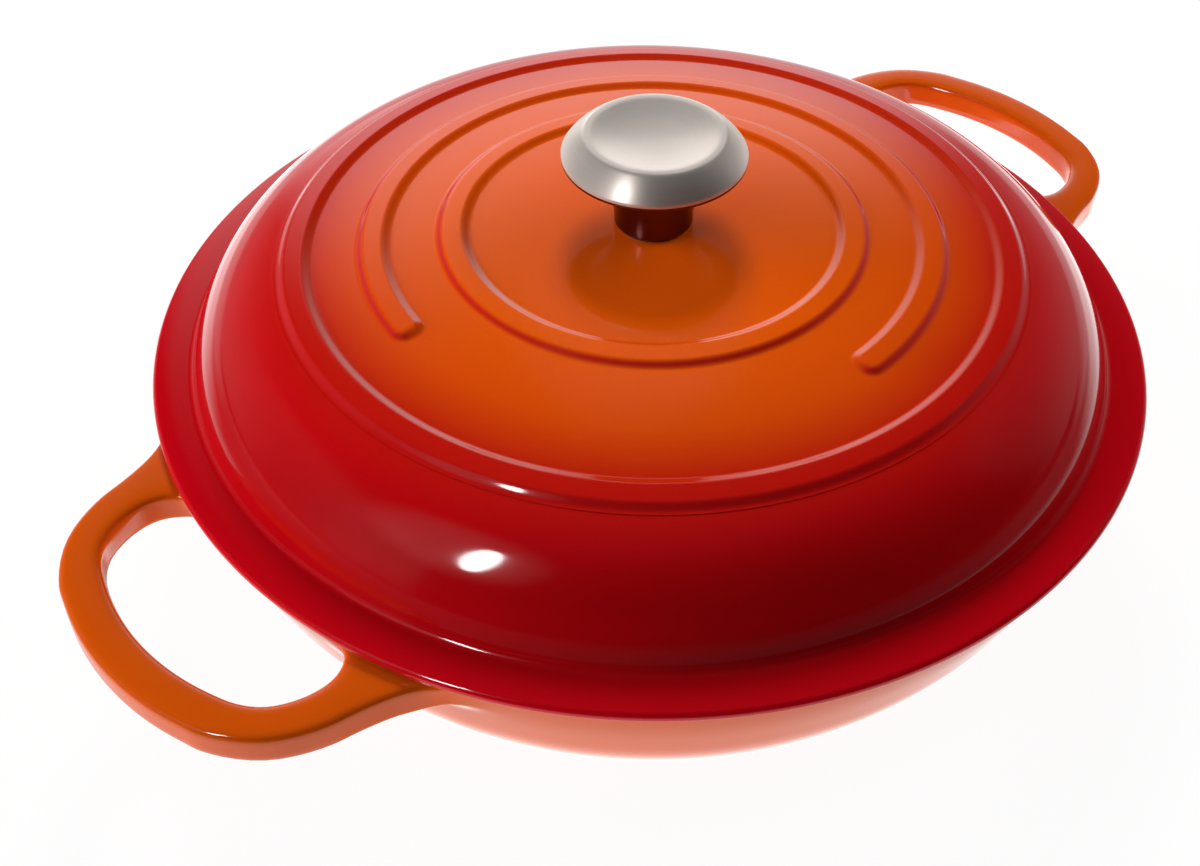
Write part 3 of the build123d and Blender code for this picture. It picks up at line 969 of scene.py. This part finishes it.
def rayKinds(graph):                         # camera rays, and rays mirrored or let through by the object
    path = graph.node("ShaderNodeLightPath")
    shiny = path.out("Is Glossy Ray") + path.out("Is Transmission Ray")
    return path.out("Is Camera Ray"), graph.calc("MINIMUM", shiny, 1.0)


table = {
    "size": 6, "white": 0.92, "show": 0.94, "bounce": 3.1, "dim": 0.02,
    "near": 0.78, "nearEdge": (0.40, 0.28),                # lit round the pot, dark in front
    "back": 0.75, "backEdge": (0.10, 0.40), "backWide": (0.5, 2.0), "backStart": 0.3,
    # spot is a painted pool of light on the table behind the pot at each side, ring a painted shadow round
    # the pot's foot, and under painted brightness right below the wall; the table also glows onto matt
    # surfaces (bounce) as painted light
    "spot": 1.2, "spotAlong": 0.26, "spotAside": 0.31, "spotEdge": (0.26, 0.08),
    "ring": 0.62, "ringInner": (0.137, 0.149), "ringOuter": (0.20, 0.165), "ringFront": (0.02, -0.06),
    "under": 1.1, "underEdge": (0.141, 0.127),             # the wall mirrors ring and under
}


def addTable(s):
    bm = bmesh.new()
    bmesh.ops.create_grid(bm, x_segments=1, y_segments=1, size=s["size"])
    floor = finishMesh("floor", bm)
    material, graph = newFinish("whiteTable")
    x, y = graph.split(graph.node("ShaderNodeTexCoord", {}, {}, out="Object"))[:2]
    along, left = groundAxes(x, y)
    radius = graph.hypot(x, y)
    near = graph.ramp(radius, *s["nearEdge"])
    back = graph.ramp(along, *s["backEdge"])
    back = back * (1 - graph.ramp(abs(left) / (abs(along) + s["backStart"]), *s["backWide"]))
    # painted pools of light, a painted shadow ring and painted brightness under the pot
    paintedLightSpots = graph.ramp(graph.hypot(along - s["spotAlong"], abs(left) - s["spotAside"]), *s["spotEdge"])
    ring = graph.ramp(radius, *s["ringInner"]) * graph.ramp(radius, *s["ringOuter"])
    ring = ring * graph.ramp(along, *s["ringFront"])
    under = graph.ramp(radius, *s["underEdge"])
    glow = s["dim"] + near * s["near"] + back * s["back"] + paintedLightSpots * s["spot"]
    mirror = 1 - ring * s["ring"] + under * s["under"]
    cameraRay, shiny = rayKinds(graph)
    strength = cameraRay + glow * (1 - cameraRay) * (shiny * mirror + (1 - shiny) * s["bounce"])
    matt = graph.node("ShaderNodeBsdfDiffuse", {}, {"Color": (s["white"],) * 3 + (1,)})
    white = graph.node("ShaderNodeEmission", {}, {"Color": (1, 1, 1, 1), "Strength": strength})
    mixed = graph.node("ShaderNodeMixShader", {}, {0: s["show"], 1: matt, 2: white})
    graph.node("ShaderNodeOutputMaterial", {}, {"Surface": mixed})
    floor.data.materials.append(material)


room = {                                     # turns to the left from straight behind the object, in degrees
    "fill": 0.06, "dim": 0.006,
    "panel": 1.2, "panelTurn": 5.0, "panelEdge": (0.875, 0.985), "panelTop": (0.29, 0.71),
    "panelSlope": 0.2,
    "wall": 0.28, "wallEdge": (-0.05, 0.60), "wallTop": (0.0, 0.65),
    "screen": 0.10, "screenTurn": 190.0, "screenEdge": (-0.10, 0.31), "screenTop": (0.5, 0.75),
    "screenCutTurn": 42.0, "screenCut": (0.0, 0.07),
    "halo": 0.35, "haloTurn": 128.0, "haloRise": 42.0, "haloEdge": (0.93, 0.99),
    "overhead": 0.02, "overheadEdge": (0.85, 1.0),
}


def addRoom(s):
    world = bpy.data.worlds.new("room")
    bpy.context.scene.world = world
    world.use_nodes = True
    world.node_tree.nodes.clear()
    graph = Graph(world.node_tree)
    x, y, z = graph.split(graph.node("ShaderNodeTexCoord", {}, {}, out="Generated"))
    flat = graph.calc("MAXIMUM", graph.hypot(x, y), 0.001)
    along, left = groundAxes(x, y)
    behind, leftward = along / flat, left / flat

    def towards(turn):                       # 1 where the ray heads that way, seen from above
        return behind * math.cos(math.radians(turn)) + leftward * math.sin(math.radians(turn))

    def below(level, top):
        return 1 - graph.ramp(level, *top)

    panel = graph.ramp(towards(s["panelTurn"]), *s["panelEdge"])
    panel = panel * below(z - leftward * s["panelSlope"], s["panelTop"]) * s["panel"]
    wall = graph.ramp(behind, *s["wallEdge"]) * below(z, s["wallTop"]) * s["wall"]
    screen = graph.ramp(towards(s["screenTurn"]), *s["screenEdge"]) * below(z, s["screenTop"])
    screen = screen * graph.ramp(towards(s["screenCutTurn"]), *s["screenCut"]) * s["screen"]
    climb = math.radians(s["haloRise"])
    halo = towards(s["haloTurn"]) * flat * math.cos(climb) + z * math.sin(climb)
    halo = graph.ramp(halo, *s["haloEdge"]) * s["halo"]
    overhead = graph.ramp(z, *s["overheadEdge"]) * s["overhead"]
    mirrored = s["dim"] + panel + wall + screen + halo + overhead
    cameraRay, shiny = rayKinds(graph)
    strength = cameraRay + (1 - cameraRay) * (shiny * mirrored + (1 - shiny) * s["fill"])
    background = graph.node("ShaderNodeBackground", {}, {"Color": (1, 1, 1, 1), "Strength": strength})
    graph.node("ShaderNodeOutputWorld", {}, {"Surface": background})


lamps = {                                    # turn to the left from straight behind the object, and rise
    "key": {"turn": 139.0, "rise": 39.0, "far": 1.45, "size": (0.16, 0.48), "power": 5.4, "shine": True},
    "left": {"turn": 96.0, "rise": 17.0, "far": 1.7, "size": (2.4, 1.3), "power": 51.0, "shine": False},
    "right": {"turn": -70.0, "rise": 24.0, "far": 1.0, "size": (0.8, 0.8), "power": 6.2, "shine": False},
    "top": {"turn": 2.0, "rise": 49.0, "far": 1.7, "size": (0.5, 0.66), "power": 18.6, "shine": False},
}


def addLamp(name, s):                        # gives either a highlight or soft light
    data = bpy.data.lights.new(name, "AREA")
    data.shape = "ELLIPSE"
    data.size, data.size_y = s["size"]
    data.energy = s["power"]
    turn, climb = math.radians(s["turn"]), math.radians(s["rise"])
    sideways = Vector((-viewWay.y, viewWay.x, 0))
    heading = (viewWay * math.cos(turn) + sideways * math.sin(turn)) * math.cos(climb)
    heading.z = math.sin(climb)
    lamp = bpy.data.objects.new(name, data)
    lamp.location = Vector(studio["lampAim"]) + heading * s["far"]
    lamp.rotation_euler = (-heading).to_track_quat("-Z", "Y").to_euler()
    lamp.visible_glossy = s["shine"]
    lamp.visible_diffuse = not s["shine"]
    bpy.context.scene.collection.objects.link(lamp)


addCamera(studio)
addTable(table)
addRoom(room)
for lampName, lampSettings in lamps.items():
    addLamp(lampName + "Lamp", lampSettings)
bpy.context.scene.view_settings.view_transform = "Standard"
print("stage ready")
